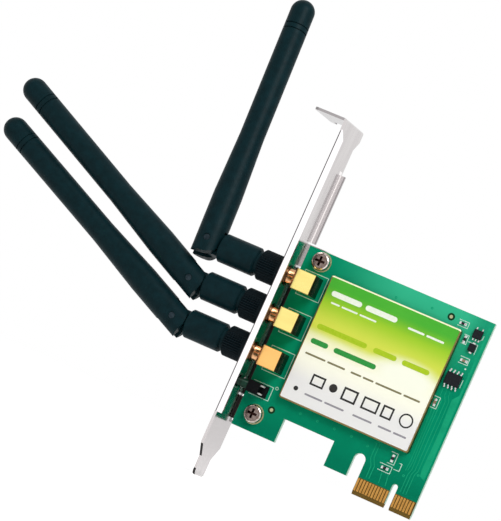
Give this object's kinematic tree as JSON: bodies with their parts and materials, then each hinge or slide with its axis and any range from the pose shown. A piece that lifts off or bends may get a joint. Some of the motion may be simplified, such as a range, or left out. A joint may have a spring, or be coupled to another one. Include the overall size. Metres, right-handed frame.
{
  "type": "plug-in wireless network card",
  "caption": "Plug-in computer circuit card with a folded slot bracket, a shielded radio and folding rod antennas that swivel on coaxial jacks.",
  "frame": {"origin": "bottom of the edge connector, beside the middle of its key and half-way through the board", "axes": "+X from the bracket into the computer, +Y from the component side to the solder side, +Z out of the slot"},
  "size_m": [0.1739, 0.0313, 0.1531],
  "materials": {
    "fr4_laminate": "green solder mask over glass-epoxy laminate",
    "gold_flash": "gold-plated copper contacts",
    "plated_steel": "nickel-plated folded sheet steel",
    "screw_steel": "nickel-plated screws",
    "tin_plate": "tin-plated drawn can",
    "label_film": "printed film in plain colour fields",
    "gold_brass": "gold-plated turned and cast brass",
    "ptfe": "white fluoropolymer",
    "black_nylon": "moulded black nylon",
    "lamp_epoxy": "clear epoxy with a green tint",
    "chip_epoxy": "moulded black epoxy",
    "tinned_lead": "tinned leads",
    "ceramic": "ceramic with tinned ends",
    "coupling_black": "black knurled coupling nut",
    "plug_brass": "turned brass",
    "pin_steel": "ground steel pin",
    "antenna_black": "satin black moulded thermoplastic"
  },
  "bodies": {
    "card": {"circuit_board": "fr4_laminate", "contacts_front": "gold_flash", "contacts_back": "gold_flash", "bracket": "plated_steel", "bracket_screws": "screw_steel", "shield_can": "tin_plate", "can_label": "label_film", "lamp_holder": "black_nylon", "lamp": "lamp_epoxy", "memory_chip": "chip_epoxy", "memory_leads": "tinned_lead", "regulator_chip": "chip_epoxy", "diode_chip": "chip_epoxy", "chip_passives": "ceramic", "jack_body_1": "gold_brass", "jack_insulator_1": "ptfe", "jack_contact_1": "gold_flash", "coupling_plug_1": "plug_brass", "jack_body_2": "gold_brass", "jack_insulator_2": "ptfe", "jack_contact_2": "gold_flash", "coupling_plug_2": "plug_brass", "jack_body_3": "gold_brass", "jack_insulator_3": "ptfe", "jack_contact_3": "gold_flash", "coupling_plug_3": "plug_brass"},
    "nut_1": {"coupling_nut_1": "coupling_black"},
    "base_1": {"swivel_base_1": "antenna_black", "hinge_pin_1": "pin_steel"},
    "antenna_1": {"whip_1": "antenna_black"},
    "nut_2": {"coupling_nut_2": "coupling_black"},
    "base_2": {"swivel_base_2": "antenna_black", "hinge_pin_2": "pin_steel"},
    "antenna_2": {"whip_2": "antenna_black"},
    "nut_3": {"coupling_nut_3": "coupling_black"},
    "base_3": {"swivel_base_3": "antenna_black", "hinge_pin_3": "pin_steel"},
    "antenna_3": {"whip_3": "antenna_black"}
  },
  "joints": [
    {"name": "nut_turn_1", "type": "hinge", "parent": "card", "child": "nut_1", "pos_m": [-0.06306, -0.00628, 0.054], "axis": [-1, 0, 0], "continuous": true},
    {"name": "swivel_1", "type": "hinge", "parent": "card", "child": "base_1", "pos_m": [-0.07436, -0.00628, 0.054], "axis": [-1, 0, 0], "range_deg": [-130, 100]},
    {"name": "tilt_1", "type": "hinge", "parent": "base_1", "child": "antenna_1", "pos_m": [-0.08566, -0.00628, 0.054], "axis": [0, 0.9755, -0.2198], "range_deg": [-55, 6.1]},
    {"name": "nut_turn_2", "type": "hinge", "parent": "card", "child": "nut_2", "pos_m": [-0.06306, -0.00628, 0.041], "axis": [-1, 0, 0], "continuous": true},
    {"name": "swivel_2", "type": "hinge", "parent": "card", "child": "base_2", "pos_m": [-0.07436, -0.00628, 0.041], "axis": [1, 0, 0], "range_deg": [-70, 70]},
    {"name": "tilt_2", "type": "hinge", "parent": "base_2", "child": "antenna_2", "pos_m": [-0.08566, -0.00628, 0.041], "axis": [0, 1, 0], "range_deg": [-3, 2.2]},
    {"name": "nut_turn_3", "type": "hinge", "parent": "card", "child": "nut_3", "pos_m": [-0.06306, -0.00628, 0.028], "axis": [-1, 0, 0], "continuous": true},
    {"name": "swivel_3", "type": "hinge", "parent": "card", "child": "base_3", "pos_m": [-0.07436, -0.00628, 0.028], "axis": [-1, 0, 0], "continuous": true},
    {"name": "tilt_3", "type": "hinge", "parent": "base_3", "child": "antenna_3", "pos_m": [-0.08566, -0.00628, 0.028], "axis": [0, 1, 0], "range_deg": [-24.6, 2.5]}
  ]
}
